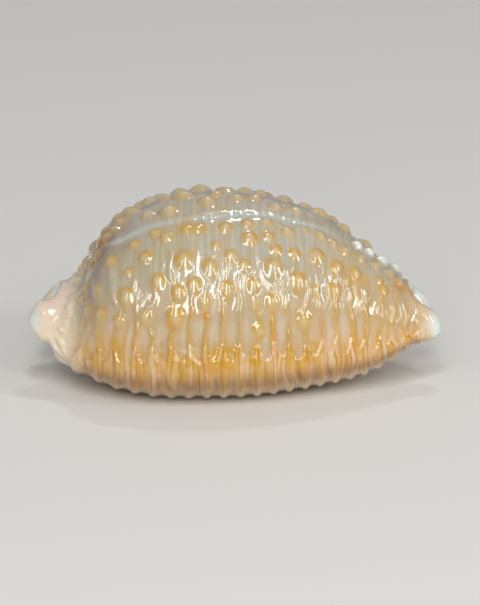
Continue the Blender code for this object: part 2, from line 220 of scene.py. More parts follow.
# Heights in mm
SCALLOP_HEIGHT = 0.11
FOLD_HEIGHT = 0.27
FURROW_RIPPLE = 0.025
FRONT_RIPPLE = 0.02

# Where each form or colour sets in, and how far it takes to be full. A minus falls.
ZONES = {
    # over around, from the middle of the back
    "off_back": (0.09, 0.10), "side_tint": (0.10, 0.15), "drops": (0.20, 0.15),
    "troughs": (0.24, 0.20), "lower": (0.26, 0.22), "trough_tint": (0.30, 0.20),
    "peach_flank": (0.40, 0.13), "scallops": (0.53, 0.06), "painted_margin_shade": (0.55, 0.07),
    "ribs": (0.60, 0.16), "underside": (0.62, 0.08), "lip_edge": (0.95, 0.05),
    # over the place along the shell
    "folds": (-7.9, -0.8), "hind_callus": (-7.9, -1.5), "gold_from": (-6.5, 3.0),
    "gold_to": (6.0, -3.0), "front_ripple": (1.5, 1.5), "steep_from": (2.0, 4.0),
    "steep_to": (11.0, -3.0), "front_tint": (2.5, 5.0), "front_callus": (9.8, 0.6),
    # over the distance from the nearest main ridge
    "trough_side": (0.03, 0.42), "trough_tint_side": (0.10, 0.22),
}

# Smooth random patterns: cells to a rib, shift, cells down the flank, seed
PATTERNS = {
    "sway": (1.7, 2, 14, 10), "brim": (1.5, 9, 9, 12), "ripple": (1, 0, 3, 15),
    "swells": (1.3, 3, 18, 16), "hang": (1.1, 0, 0, 17), "uneven": (0.9, 11, 6, 18),
    "folds": (2.1, 5, 24, 19),
}
SEEDS = {"far_knobs": 7, "rings": 8, "ridges": 9, "lines": 13}
# Ranges of chance for the thin ridges, in turns or in around
RIDGE_CHANCES = {
    "shift": (-0.11, 0.11), "reach": (0.25, 0.50), "lean": (0.5, 1.0), "lean_width": (0.03, 0.06),
    "start": (0.17, 0.32), "strength": (0.7, 1.0), "beat": (50, 100), "stain": (0.6, 1.3),
    "width": (0.15, 0.20), "lesser_width": (0.11, 0.15), "lesser_start": (0.17, 0.36),
    "lesser_length": (0.08, 0.20), "lesser_strength": (0.5, 0.95),
}
# How the ridges wander: height and frequency of three waves
WAVES = ((0.10, 29), (0.06, 63), (0.035, 115))

# How finely the wall is divided
SHELF_DENSITY = 1.6
ROWS_PER_RIB = 15
ROWS = RIBS * ROWS_PER_RIB + 1
HALF_COLUMNS_ABOVE = 107
COLUMNS_BELOW = 18
RIM_STEPS = 8
HOLLOW_STEP = 10
PATH_STEPS = 90

# Noise of the enamel: size of the clouds in mm, detail
CLOUDS = {"wide": (2.2, 2), "small": (0.5, 3), "stain": (0.35, 2), "ripple": (0.25, 2)}
# Noise drawn out down the flanks: streaks to a rib, cells from back to lip, shift
DRIPS = {
    "warmth": (2.6, 3, 11), "hairline": (4.6, 5, 4), "front": (1.9, 4, 3),
    "front_stain": (3.5, 5, 8), "hind": (1.9, 4, 6), "low_stain": (3.3, 3, 2),
    "trough": (1.7, 4, 9), "margin": (2.6, 5, 7), "painted_margin_shade": (2.6, 5, 5), "line": (3, 4, 1),
}
FINISH = {
    "IOR": 1.53, "Coat Weight": 1.0, "Coat Roughness": 0.03, "Subsurface Weight": 0.20,
    "Subsurface Radius": (1.0, 0.8, 0.6), "Subsurface Scale": 0.4 * MM,
}
RIPPLE = {"Strength": 0.15, "Distance": 0.02 * MM}

# Soft lights: place, width and height in metres, power in watts
LIGHTS = {
    "key_light": ((-0.01, -0.202, 0.172), 0.048, 0.296, 0.40),
    "side_light": ((0.123, -0.176, 0.140), 0.024, 0.18, 0.09),
    "front_light": ((0.2137, -0.0795, 0.104), 0.024, 0.125, 0.14),
    "top_light": ((0.03, 0.13, 0.22), 0.03, 0.004, 0.06),
    "back_light": ((-0.05, 0.24, 0.14), 0.30, 0.20, 0.03),
    "fill_light": ((-0.125, -0.170, 0.150), 0.022, 0.15, 0.07),
}
SKY = {"Color": (0.95, 0.97, 1.0, 1.0), "Strength": 0.26}
SENSOR_WIDTH = 36.0
CLIP_RANGE = (0.01, 10.0)
FLOOR_HALF_WIDTH = 1.5
FLOOR_CLOUDS = 12.0
FLOOR_DARKER = 0.97
FLOOR_ROUGHNESS = 0.7


def linear(*screen):
    """A screen colour, three numbers from 0 to 255, as the light values that shaders use."""
    share = np.array(screen) / 255
    light = np.where(share <= 0.04045, share / 12.92, ((share + 0.055) / 1.055) ** 2.4)
    return tuple(float(value) for value in light)


def length_property(label, description, millimetres):
    return bpy.props.FloatProperty(
        name=label, description=description, default=millimetres * MM,
        min=0.0, unit="LENGTH", subtype="DISTANCE", precision=5,
    )


def share_property(label, description, value, largest):
    return bpy.props.FloatProperty(
        name=label, description=description, default=value,
        min=0.0, max=largest, subtype="FACTOR",
    )


def colour_property(label, description, *screen):
    return bpy.props.FloatVectorProperty(
        name=label, description=description, default=linear(*screen),
        min=0.0, max=1.0, size=3, subtype="COLOR",
    )


class CowrieRelief(bpy.types.PropertyGroup):
    """Heights and widths of what stands on the shell's smooth form."""

    knob_steepness: share_property("Knob steepness", "Height of a knob over its radius", 0.42, 1.5)
    bead_steepness: share_property(
        "Bead steepness", "Height of a white bead over its radius", 0.85, 1.5
    )
    knob_spread: share_property("Knob spread", "Width of a knob's foot over its top's", 1.50, 2.0)
    ridge_height: length_property("Ridge height", "Height of the flank's thin ridges", 0.085)
    swell_height: length_property("Swell height", "Height of the back's swellings", 0.035)
    bulge_height: length_property("Bulge height", "Height of the bulge over the margin", 0.03)
    line_depth: length_property("Line depth", "Depth of the margin's fine lines", 0.028)
    rib_height: length_property("Rib height", "Height of the underside's ribs", 0.13)
    rib_groove: length_property("Rib groove", "Depth of the grooves between ribs", 0.13)
    furrow_width: length_property("Furrow width", "Width of the back's furrow", 0.32)
    furrow_depth: length_property("Furrow depth", "Depth of the back's furrow", 0.05)


class CowrieColours(bpy.types.PropertyGroup):
    """Colours of the shell's enamel."""

    back: colour_property("Back", "Clear grey enamel", 174, 170, 154)
    back_warm: colour_property("Back warm", "Warmer clouds in the grey enamel", 176, 164, 134)
    # Also laid on the upper ridge crests: partly their own pale colour, partly a painted highlight
    hairline: colour_property("Hairline", "Pale hairlines in the enamel", 204, 198, 180)
    front: colour_property("Front", "Peach of the front flank", 210, 174, 120)
    hind: colour_property("Hind", "Pinkish brown of the hind end", 182, 148, 116)
    shade: colour_property("Shade", "Brownish shade of the hind slope", 128, 88, 62)
    flank: colour_property("Flank", "Warm cream of the lower flank", 188, 160, 108)
    trough: colour_property("Trough", "Pinkish white between the ridges", 200, 184, 168)
    stain: colour_property("Stain", "Ochre round knobs and along ridges", 200, 150, 30)
    blotch: colour_property("Blotch", "Deeper orange blotches", 204, 134, 20)
    knob: colour_property("Knob", "Peach on top of the knobs", 216, 190, 130)
    margin: colour_property("Margin", "Peach of the margin", 206, 156, 66)
    margin_pale: colour_property("Margin pale", "Cream streaks of the margin", 220, 186, 146)
    # Painted shade: a darker brown for the margin's lower half, where it turns under the shell
    painted_margin_shade: colour_property("Dusk", "Brown of the margin's lower half", 148, 99, 28)
    groove: colour_property("Groove", "Brown orange in the grooves", 150, 92, 20)
    underside: colour_property("Underside", "Cream of the ribs below", 222, 194, 150)
    callus: colour_property("Callus", "Cream of both ends and the lips", 236, 220, 188)
    blush: colour_property("Blush", "Pink in the hind callus", 230, 208, 186)
    furrow: colour_property("Furrow", "Pale grey of the furrow", 190, 193, 184)
    pearl: colour_property("Pearl", "Cold white of the knuckles and beads", 222, 230, 222)


class CowrieStudio(bpy.types.PropertyGroup):
    """Floor colour and camera."""

    elevation: bpy.props.FloatProperty(
        name="Camera elevation", description="How far the camera looks down",
        default=math.radians(SIGHT_ANGLE), subtype="ANGLE",
    )
    frame_width: length_property("Frame width", "Width of the view at the shell", 25.63)
    camera_distance: length_property("Camera distance", "From the lens to the shell", 350.0)
    aim_along: length_property("Aim along", "Aim in front of the shell's middle", 0.27)
    aim_height: length_property("Aim height", "Aim above the floor", 3.89)
    floor_colour: colour_property("Floor", "Pale floor", 226, 224, 220)


def ease(value):
    """Smooth step from 0 to 1."""
    value = np.clip(value, 0, 1)
    return value * value * (3 - 2 * value)


def hump(distance, width):
    """Bell curve that is 1 in the middle."""
    return np.exp(-((distance / width) ** 2))


def zone(name, value):
    """Smooth step over a named zone: its start, and how far it takes to be full."""
    start, length = ZONES[name]
    return ease((value - start) / length)


def pattern(name, turn, down):
    """A named smooth noise from 0 to 1: random corner values, eased between the corners."""
    to_rib, shift, rows, seed = PATTERNS[name]
    across, down = turn * to_rib + shift, down * rows
    table = np.random.default_rng(seed).random((257, 67))
    column = np.clip(np.floor(across).astype(int), 0, 255)
    row = np.clip(np.floor(down).astype(int), 0, 65)
    part, fall = ease(across - column), ease(down - row)
    above = table[column, row] * (1 - part) + table[column + 1, row] * part
    below = table[column, row + 1] * (1 - part) + table[column + 1, row + 1] * part
    return above * (1 - fall) + below * fall


def smooth_curve(knots, values, at):
    """Natural cubic spline through the values at the knots, read at any points."""
    values = np.asarray(values, float)
    count = len(knots)
    gap = np.diff(knots)
    slope = np.diff(values, axis=0) / gap.reshape(-1, *[1] * (values.ndim - 1))
    system = np.eye(count)
    pull = np.zeros_like(values)
    for i in range(1, count - 1):
        system[i, i - 1:i + 2] = gap[i - 1], 2 * (gap[i - 1] + gap[i]), gap[i]
        pull[i] = 6 * (slope[i] - slope[i - 1])
    bend = np.linalg.solve(system, pull.reshape(count, -1)).reshape(values.shape)
    at = np.clip(at, knots[0], knots[-1])
    i = np.clip(np.searchsorted(knots, at) - 1, 0, count - 2)
    spread = (...,) + (None,) * (values.ndim - 1)
    before = (at - knots[i])[spread]
    after = (knots[i + 1] - at)[spread]
    step = gap[i][spread]
    curve = (bend[i] * after**3 + bend[i + 1] * before**3) / (6 * step)
    line_end = (values[i] / step - bend[i] * step / 6) * after
    return curve + line_end + (values[i + 1] / step - bend[i + 1] * step / 6) * before


def section_sizes(x):
    """Half width, underside, back, slit's middle, half gap and size of the lips at x."""
    sizes = smooth_curve(STATIONS[:, 0] * LENGTH / 2, STATIONS[:, 1:], x)
    slit = smooth_curve(SLIT[:, 0], SLIT[:, 1:], x)
    half = sizes[..., 0] * WIDTH / 2
    under, back = sizes[..., 1] * HEIGHT, sizes[..., 2] * HEIGHT
    lip_size = np.clip((back - under) / FULL_LIP_DEPTH, LEAST_LIP, 1)
    return half, under, back, slit[..., 0], slit[..., 1], lip_size


def through(points, around):
    """(y, z) on the smooth curve through a section's points, each (around, y, z)."""
    knots, *sides = zip(*sorted(points, key=lambda point: point[0]))
    weights = smooth_curve(np.array(knots), np.eye(len(knots)), around)
    y, z = (sum(weights[..., k] * at for k, at in enumerate(side)) for side in sides)
    return y, z


def wall_points(profile, half, low, height, middle, gap):
    """Both sides of a section from its profile; on the underside they close in on the slit."""
    points = [(0.0, 0 * half, low + height)]
    for place, out, up in profile[1:]:
        inward = (1 - out) * (place > UNDERSIDE_FROM)
        for side in (1, -1):
            y = -side * (out * half + inward * gap) + inward * middle
            points.append((side * place, y, low + up * height))
    return points


def lip_points(profile, under, middle, gap, lip_size):
    """Both lips of a section from their profile."""
    return [
        (side * place, middle - side * (gap + out * lip_size), under + up * lip_size)
        for place, out, up in profile
        for side in (1, -1)
    ]


def wall(x, around):
    """(y, z) of the outer wall's smooth form: a spline in around through FLANK and LIP."""
    half, under, back, middle, gap, lip_size = section_sizes(x)
    points = wall_points(FLANK, half, under, back - under, middle, gap)
    return through(points + lip_points(LIP, under, middle, gap, lip_size), around)


def hollow(x, around):
    """(y, z) of the hollow's wall, which meets the outer wall at the edges of the lips."""
    half, under, back, middle, gap, lip_size = section_sizes(x)
    share = smooth_curve(HOLLOW_WIDTH[:, 0], HOLLOW_WIDTH[:, 1], x)
    half_inside = gap + (half - gap) * share
    floor = under + FLOOR_WALL * lip_size
    top = back - BACK_WALL * np.clip((back - under) / FULL_WALL_HEIGHT, LEAST_WALL, 1)
    points = wall_points(HOLLOW, half_inside, floor, top - floor, middle, gap)
    return through(points + lip_points(LIP[-1:], under, middle, gap, lip_size), around)


def rim(places, around):
    """Where the wall ends: over the notch, out to the tips of the lips, and back at the slit."""
    over_notch, outer_lip, inner_lip, drawn_back = places
    tip = np.where(around > 0, outer_lip, inner_lip)
    place = np.abs(around)
    run_out = (tip - over_notch) * ease((place - 0.10) / 0.45)
    return over_notch + run_out + drawn_back * ease((place - 0.68) / 0.32)


def rounded_rim(places, around, outwards):
    """Rows that turn from the hollow's wall to the outer wall over half a circle."""
    x = rim(places, around)
    inner = np.array(hollow(x, around))
    outer = np.array(wall(x, around))
    thickness = np.hypot(*(outer - inner))
    rows = []
    for step in range(RIM_STEPS):
        turn = math.pi * step / RIM_STEPS
        y, z = inner + (outer - inner) * (1 - math.cos(turn)) / 2
        rows.append(np.stack([x + outwards * 0.5 * thickness * math.sin(turn), y, z], -1))
    return np.array(rows)


def columns():
    """The values of around: even steps, but shorter ones at the shelf above the margin."""
    fine = np.linspace(0, UNDERSIDE_FROM, 500)
    density = 1 + SHELF_DENSITY * hump(fine - SHELF_AT, 0.035)
    count = np.concatenate([[0], np.cumsum(density[1:] + density[:-1])])
    steps = np.linspace(0, count[-1], HALF_COLUMNS_ABOVE + 1)
    above = np.interp(steps, count, fine)[1:]
    below = np.linspace(UNDERSIDE_FROM, 1, COLUMNS_BELOW + 1)[1:]
    half = np.concatenate([above, below])
    return np.concatenate([-half[::-1], [0.0], half])


def outward(points):
    """Unit normals of a grid of points: the cross product of its two tangents."""
    normal = np.cross(np.gradient(points, axis=1), np.gradient(points, axis=0))
    return normal / np.linalg.norm(normal, axis=-1, keepdims=True)


def around_at(x, up):
    """The place around the outer side that lies at a height in the slanting view."""
    sight = math.radians(SIGHT_ANGLE)
    places = np.linspace(-0.12, 0.62, 150)
    y, z = wall(x, places)
    seen = z * math.cos(sight) + y * math.sin(sight)
    top = int(np.argmax(seen))
    return float(np.interp(-up, -seen[top:], places[top:]))


def x_at(turn, around):
    """The place along the shell of a line that is so many ribs from the hind rim."""
    share = turn / RIBS
    start = rim(HIND_RIM, around)
    along = share * (1 + RIB_WIDENING) - RIB_WIDENING * share**2
    return start + (rim(FRONT_RIM, around) - start) * along


def turn_at(x, around):
    """How many ribs from the hind rim a point is: the inverse of the rows' spacing."""
    start = rim(HIND_RIM, around)
    share = (x - start) / (rim(FRONT_RIM, around) - start)
    wide = 1 + RIB_WIDENING
    return RIBS * (wide - np.sqrt(wide**2 - 4 * RIB_WIDENING * share)) / (2 * RIB_WIDENING)


def knob_places():
    """(x, around, radius, kind) of every knob: the listed ones, and scattered rows beyond.

    The kind is 1 for a bead, -1 for a knob that no ridge leans to and 0 for the others.
    """

    def seen(knobs, kind):
        return [(x, around_at(x, up), radius, kind) for x, up, radius in knobs]

    places = seen(KNOBS, 0.0)
    draw = np.random.default_rng(SEEDS["far_knobs"])
    for number, (around, start, end) in enumerate(FAR_ROWS):
        count = int((end - start) / FAR_SPACING)
        for k in range(count + 1):
            x = start + (k + 0.5 * (number % 2)) * FAR_SPACING
            shift = draw.uniform(-FAR_SCATTER, FAR_SCATTER, 2)
            radius = draw.uniform(*FAR_RADIUS)
            places.append((x + shift[0], around + 0.08 * shift[1], radius, 0.0))
    return np.array(places + seen(BEADS, 1.0) + [(*LIP_BEAD, 1.0)] + seen(SLOPE_KNOBS, -1.0))


def lumps(points, places, relief):
    """Height of the knobs, and masks: how near their tops, their stained ring, and the beads.

    A knob is a dome, radius * steepness * (1 - d^2)^1.5, where d is the distance from its
    middle over its foot's radius. On the flank it is drawn out downwards into a drop, and on
    the back it is broader and steeper.
    """
    height, top, ring, bead = np.zeros((4, *points.shape[:2]))
    draw = np.random.default_rng(SEEDS["rings"])
    for x, around, radius, kind in places:
        centre = np.array([x, *wall(x, around)])
        down = np.array([x, *wall(x, around + 0.02 * np.sign(around))]) - centre
        down /= np.linalg.norm(down)
        away = points - centre
        fall = away @ down
        drawn_out = 1 + DROP_LENGTH * zone("drops", abs(around)) * (fall > 0)
        on_back = 1 - zone("off_back", abs(around - BACK_MIDDLE))
        radius = radius * (1 + BACK_KNOB_GROWTH * on_back)
        square = (away**2).sum(-1) - fall**2 + (fall / drawn_out) ** 2
        distance = np.sqrt(np.maximum(square, 0)) / radius
        spread = relief.knob_spread * (1 - BACK_KNOB_TIGHTER * on_back)
        dome = np.clip(1 - (distance / spread) ** 2, 0, 1) ** 1.5
        if kind > 0:
            height = np.maximum(height, relief.bead_steepness * radius * dome)
            bead = np.maximum(bead, 0.9 * ease((1.2 - distance) / 0.5))
            continue
        steepness = relief.knob_steepness * (1 + BACK_KNOB_STEEPER * on_back)
        height = np.maximum(height, steepness * radius * dome)
        top = np.maximum(top, hump(distance, 0.62))
        strength = draw.uniform(0.75, 1.10) * (1 - 0.50 * on_back)
        upper = 1 - 0.35 * ease(0.3 + fall / radius)
        ring = np.maximum(ring, strength * upper * hump(distance - 0.90, 0.50))
    return height, top, ring, bead


def spot_mask(points, spots):
    """1 in the middle of each spot, falling off as a bell curve of the distance."""
    mask = np.zeros(points.shape[:2])
    for x, up, radius in spots:
        centre = np.array([x, *wall(x, around_at(x, up))])
        mask = np.maximum(mask, hump(np.linalg.norm(points - centre, axis=-1), radius))
    return mask


def ridge_paths(places):
    """Lines of the flank's thin ridges, on the outer and the inner side.

    Each rib has a main ridge, which runs down to the margin, and two lesser ones that fade out
    above it. A ridge wanders, leans over to the knobs beside it and starts near the highest.
    Returned are, for each side, ridge and step of around: the line (in turns), the strength,
    the strength of its stain, and half the width as a share of a rib.
    """
    draw = np.random.default_rng(SEEDS["ridges"])
    step = np.linspace(0, UNDERSIDE_FROM, PATH_STEPS)
    tables = []

    def chance(name):
        return draw.uniform(*RIDGE_CHANCES[name])

    for side in (1, -1):
        own = places[(np.sign(places[:, 1]) == side) & (places[:, 3] == 0)]
        knob_turn = turn_at(own[:, 0], own[:, 1])
        knob_place = np.abs(own[:, 1])
        for number in range(RIDGES_PER_RIB * RIBS):
            is_main = number % RIDGES_PER_RIB == 1
            middle = (number + 0.5) / RIDGES_PER_RIB + chance("shift")
            phase = draw.uniform(0, 2 * math.pi, 4)
            pace = 1 - 0.4 * ease((middle / RIBS - 0.55) / 0.35)
            bends = pace * step
            waves = zip(WAVES, (phase[0], phase[1], phase[3]))
            wander = sum(high * np.sin(often * bends + shift) for (high, often), shift in waves)
            upright = turn_at(x_at(middle, side * 0.5), side * np.minimum(step, 0.5))
            line = middle + (upright - middle) * ease((middle - 1.5) / 1.5)
            line = line + wander * ease((0.62 - step) / 0.25)
            reach = chance("reach")
            aside = np.abs(knob_turn - np.interp(knob_place, step, line))
            near = (aside < reach) & (knob_place > 0.17) & (knob_place < 0.52)
            for turn, place in zip(knob_turn[near], knob_place[near]):
                lean = (turn - np.interp(place, step, line)) * chance("lean")
                line = line + lean * hump(step - place, chance("lean_width"))
            start = min(chance("start"), *knob_place[near], 1.0)
            strength = ease((step - start) / 0.06) * chance("strength")
            strength *= 0.72 + 0.28 * np.sin(chance("beat") * bends + phase[2])
            if not is_main:
                start = max(start, chance("lesser_start"))
                end = start + chance("lesser_length")
                fade = ease((step - start) / 0.04) * (1 - ease((step - end) / 0.05))
                strength *= chance("lesser_strength") * fade * ease((0.50 - step) / 0.05)
            stain = chance("stain") * (0.75 + 0.25 * np.sin(19 * step + phase[1]))
            width = chance("width" if is_main else "lesser_width")
            width *= 1 + 0.15 * ease((middle / RIBS - 0.6) / 0.3)
            tables.append((line, strength, stain, np.full_like(step, width)))
    table = np.array(tables).reshape(2, RIDGES_PER_RIB * RIBS, 4, PATH_STEPS)
    return np.moveaxis(table, 2, 0)


def ridges(turn, around, rib_length, places):
    """Height of the thin ridges from 0 to 1, their stain, and how far the main ones are.

    Across, a ridge is (1 - d^2)^1.5, where d is the distance from its line over half its width.
    """
    lines, strengths, stains, widths = ridge_paths(places)
    side = (around < 0).astype(int)
    position = np.abs(around) / UNDERSIDE_FROM * (PATH_STEPS - 1)
    below = np.clip(np.floor(position).astype(int), 0, PATH_STEPS - 2)
    part = np.clip(position - below, 0, 1)
    crest, stain = np.zeros((2, *turn.shape))
    nearest = np.full_like(turn, 9.0)
    for offset in range(-3, 4):
        nearby = np.floor(RIDGES_PER_RIB * turn).astype(int) + offset
        number = np.clip(nearby, 0, RIDGES_PER_RIB * RIBS - 1)

        def read(table):
            return table[side, number, below] * (1 - part) + table[side, number, below + 1] * part

        off_line = np.abs(turn - read(lines))
        distance = off_line / read(widths)
        strength = read(strengths)
        is_lesser = number % RIDGES_PER_RIB != 1
        crest = np.maximum(crest, strength * np.clip(1 - distance**2, 0, 1) ** 1.5)
        own_stain = strength * read(stains) * hump(distance, 1.2) * (1 - 0.5 * is_lesser)
        stain = np.maximum(stain, own_stain)
        nearest = np.minimum(nearest, (off_line + 9 * is_lesser) * rib_length)
    return crest, stain, nearest


def furrow_mask(x, around, width):
    """1 along the furrow's middle line, 0 beside it and past its two ends."""
    line = np.array([around_at(place, up) for place, up in FURROW])
    middle = smooth_curve(FURROW[:, 0], line, x)
    ends = ease((x - FURROW[0, 0]) / 1.3) * ease((FURROW[-1, 0] + 1.5 - x) / 2.0)
    return hump(around - middle, 0.5 * width / WIDTH) * ends


def shelf_mask(turn, flank, nearest):
    """1 below the scalloped edge where the troughs end: they hang down between the ridges."""
    hang = 0.022 * pattern("hang", turn, flank)
    trough = 0.036 * (1 - np.clip(1 - (nearest - 0.12) / 0.28, 0, 1) ** 3)
    return ease((flank - SHELF_AT + 0.030 - hang - trough) / SHELF_STEP)


def margin_relief(turn, flank, counted, rib_length, golden, relief):
    """Height of the margin: a scallop to each rib, less fine lines, thin bell curves."""
    broad = np.abs(np.sin(math.pi * turn))
    uneven = (0.6 + 0.8 * pattern("uneven", turn, flank)) * (0.4 + 0.6 * golden)
    scallop = SCALLOP_HEIGHT * (broad**1.6 - 0.5) * uneven * zone("scallops", flank)
    number = np.rint(counted).astype(int)
    strength = np.random.default_rng(SEEDS["lines"]).uniform(0.2, 1.0, LINES_PER_RIB * RIBS + 5)
    line = strength[number + 2] * hump((counted - number) / LINES_PER_RIB * rib_length, 0.05)
    return (SHELF_HEIGHT * relief.ridge_height - relief.line_depth * line) / MM + scallop


def outer_sheet(around, relief):
    """The outer wall from rim to rim with its relief, and the masks that colour it."""
    start = rim(HIND_RIM, around)
    end = rim(FRONT_RIM, around)
    share = np.linspace(0, 1, ROWS)[:, None]
    x = x_at(share * RIBS, around)
    place = np.broadcast_to(around, x.shape)
    flank = np.abs(place)
    points = np.stack([x, *wall(x, place)], -1)
    normals = outward(points)

    turn = np.broadcast_to(share * RIBS, x.shape)
    rib_length = (end - start) * (1 + RIB_WIDENING - 2 * RIB_WIDENING * share) / RIBS
    counted = LINES_PER_RIB * turn + 1.1 * (pattern("sway", turn, flank) - 0.5)
    places = knob_places()
    knob, top, ring, bead = lumps(points, places, relief)
    crest, along_ridge, nearest = ridges(turn, place, rib_length, places)
    furrow = furrow_mask(x, place, relief.furrow_width / MM)
    shelf = shelf_mask(turn, flank, nearest)
    golden = zone("gold_from", x) * zone("gold_to", x)
    broad = np.abs(np.sin(math.pi * turn))
    inside = 1 - zone("lip_edge", flank)
    above = 1 - shelf
    calm, calm_knob = (
        ease((x - start) / reach) * ease((end - x) / reach) for reach in (RIM_CALM, KNOB_CALM)
    )

    sunk = zone("trough_side", nearest) * zone("troughs", flank)
    steeper = 1 + FRONT_STEEPER * zone("steep_from", x) * zone("steep_to", x)
    on_flank = relief.ridge_height / MM * (crest * steeper - TROUGH_DEPTH * sunk)
    on_margin = margin_relief(turn, flank, counted, rib_length, golden, relief)
    height = on_flank * above + on_margin * shelf
    height = height + relief.bulge_height / MM * hump(flank - 0.505, 0.055)
    swells = pattern("swells", turn, 1 + place) - 0.5
    height = height + 2 * relief.swell_height / MM * swells
    folds = FOLD_HEIGHT * (pattern("folds", turn, 1 + place) - 0.5) * zone("folds", x)
    on_ribs = ((relief.rib_height + relief.rib_groove) * broad**1.5 - relief.rib_groove) / MM
    below = zone("ribs", flank)
    height = (height + folds) * (1 - below) + on_ribs * below
    height = np.maximum(height * inside * calm, knob * above * calm_knob)
    uneven = 2.4 * math.pi * turn + 9 * pattern("ripple", turn, flank)
    ripple = FURROW_RIPPLE * np.sin(uneven)
    ripple = ripple + FRONT_RIPPLE * zone("front_ripple", x) * np.sin(5.2 * math.pi * turn)
    height = height - furrow * (relief.furrow_depth / MM + ripple) * zone("gold_from", x)

    points = points + normals * height[..., None]
    points[..., 2] = np.maximum(points[..., 2], WORN_TO)

    lower = zone("lower", flank)
    brim = hump(flank - SHELF_AT - 0.016, 0.042) * pattern("brim", turn, flank)
    stain = np.maximum(ring, along_ridge * lower) * above
    trough = zone("trough_tint_side", nearest) * zone("trough_tint", flank)
    masks = {
        "knob_top": top * above,
        "stain": np.maximum(stain, brim * (0.35 + 1.35 * golden)) * calm,
        # Ridge crests of the upper flank, painted paler: partly their own colour, partly a painted
        # highlight
        "crest": crest * above * (1 - lower),
        "low": lower * above,
        "trough": trough * above,
        "hind": hump(x + 7.9, 0.9) * zone("side_tint", flank),
        "shelf": shelf,
        "margin": np.maximum(shelf, zone("peach_flank", flank) * (1 - golden)),
        "groove": (1 - broad) ** 2 * below * inside,
        "lines": counted,
        "around": place,
        # Painted shade: grows over the margin's lower half towards the underside
        "painted_margin_shade": zone("painted_margin_shade", flank),
        "underside": zone("underside", flank),
        "furrow": furrow,
        "bead": bead,
        "front": zone("front_tint", x) * zone("side_tint", flank),
    }
    masks |= {name: spot_mask(points, spots) for name, spots in SPOTS.items()}
    return points, masks


def swell(points):
    """Points near a knuckle move away from its middle and upwards, by a bell curve."""
    for middle, reach, share, lift in KNUCKLES:
        away = points - np.array(middle)
        near = hump(np.linalg.norm(away, axis=-1, keepdims=True), reach)
        points = points + (away * share + np.array([0.0, 0.0, lift])) * near
    return points


def cap_mask(points):
    """1 on the white caps: a smooth step of the distance from each one's middle."""
    mask = np.zeros(points.shape[:-1])
    for middle, radius in CAPS:
        distance = np.linalg.norm(points - np.array(middle), axis=-1) / radius
        mask = np.maximum(mask, ease((1.30 - distance) / 0.55))
    return mask


def shell_grids(relief):
    """The outer grid with both rims, its masks, and the coarser grid of the hollow."""
    around = columns()
    hind = rounded_rim(HIND_RIM, around, -1)
    front = rounded_rim(FRONT_RIM, around, 1)[::-1]
    sheet, masks = outer_sheet(around, relief)
    outer = np.concatenate([hind, sheet, front])
    rims = ((RIM_STEPS, RIM_STEPS), (0, 0))
    wide = {name: np.pad(mask, rims, mode="edge") for name, mask in masks.items()}
    x = outer[..., 0]
    wide["callus"] = np.maximum(zone("hind_callus", x), 0.5 * zone("front_callus", x))
    picked = np.arange(0, len(around), HOLLOW_STEP)[1:-1]
    x = sheet[1:-1, picked, 0]
    inner = np.stack([x, *hollow(x, around[picked])], -1)
    outer = swell(outer)
    wide["knuckle"] = cap_mask(outer)
    return outer, wide, swell(inner)


def grid_faces(numbers):
    """Four-sided faces between the neighbours of a grid of vertex numbers."""
    corners = numbers[:-1, :-1], numbers[1:, :-1], numbers[1:, 1:], numbers[:-1, 1:]
    return np.stack(corners, -1).reshape(-1, 4)


def joining_faces(fine, coarse):
    """Triangles between a fine row of vertices and a coarse one that shares its picked columns."""
    first = np.arange(len(fine) - 1)
    part = first // HOLLOW_STEP
    nearer = part + (first % HOLLOW_STEP >= HOLLOW_STEP // 2)
    fans = np.stack([fine[first], fine[first + 1], coarse[nearer]], -1)
    middle = fine[HOLLOW_STEP // 2::HOLLOW_STEP]
    fills = np.stack([middle, coarse[1:], coarse[:-1]], -1)
    return np.concatenate([fans, fills])


def shell_mesh(relief):
    """One closed mesh: the outer wall, the two rims and the hollow's wall, fitted to its box."""
    outer, masks, inner = shell_grids(relief)
    outer_numbers = np.arange(outer[..., 0].size).reshape(outer.shape[:2])
    inner_numbers = outer_numbers.size + np.arange(inner[..., 0].size).reshape(inner.shape[:2])
    edges = outer_numbers[RIM_STEPS + 1:-RIM_STEPS - 1]
    chamber = np.concatenate([edges[:, :1], inner_numbers, edges[:, -1:]], axis=1)
    parts = (
        grid_faces(outer_numbers),
        grid_faces(chamber)[:, ::-1],
        joining_faces(outer_numbers[0], chamber[0])[:, ::-1],
        joining_faces(outer_numbers[-1], chamber[-1]),
    )

    points = np.concatenate([outer.reshape(-1, 3), inner.reshape(-1, 3)])
    low, high = points.min(axis=0), points.max(axis=0)
    corner_low, corner_high = np.array(SHELL_LOW), np.array(SHELL_HIGH)
    points = corner_low + (points - low) / (high - low) * (corner_high - corner_low)

    mesh = bpy.data.meshes.new("cowrie")
    mesh.from_pydata(points.tolist(), [], [face for part in parts for face in part.tolist()])
    inside = {"callus": 1.0, "knuckle": cap_mask(inner).ravel()}
    for name, mask in masks.items():
        values = np.zeros(len(points), np.float32)
        values[:mask.size], values[mask.size:] = mask.ravel(), inside.get(name, 0.0)
        layer = mesh.attributes.new(name, "FLOAT", "POINT")
        layer.data.foreach_set("value", values)
    return mesh


def close_seams(mesh):
    """Merges the doubled corners at the rims and turns every face outwards."""
    shape = bmesh.new()
    shape.from_mesh(mesh)
    bmesh.ops.remove_doubles(shape, verts=shape.verts, dist=0.003 * MM)
    bmesh.ops.dissolve_degenerate(shape, edges=shape.edges, dist=0.001 * MM)
    bmesh.ops.recalc_face_normals(shape, faces=shape.faces)
    shape.to_mesh(mesh)
    shape.free()
    mesh.shade_smooth()


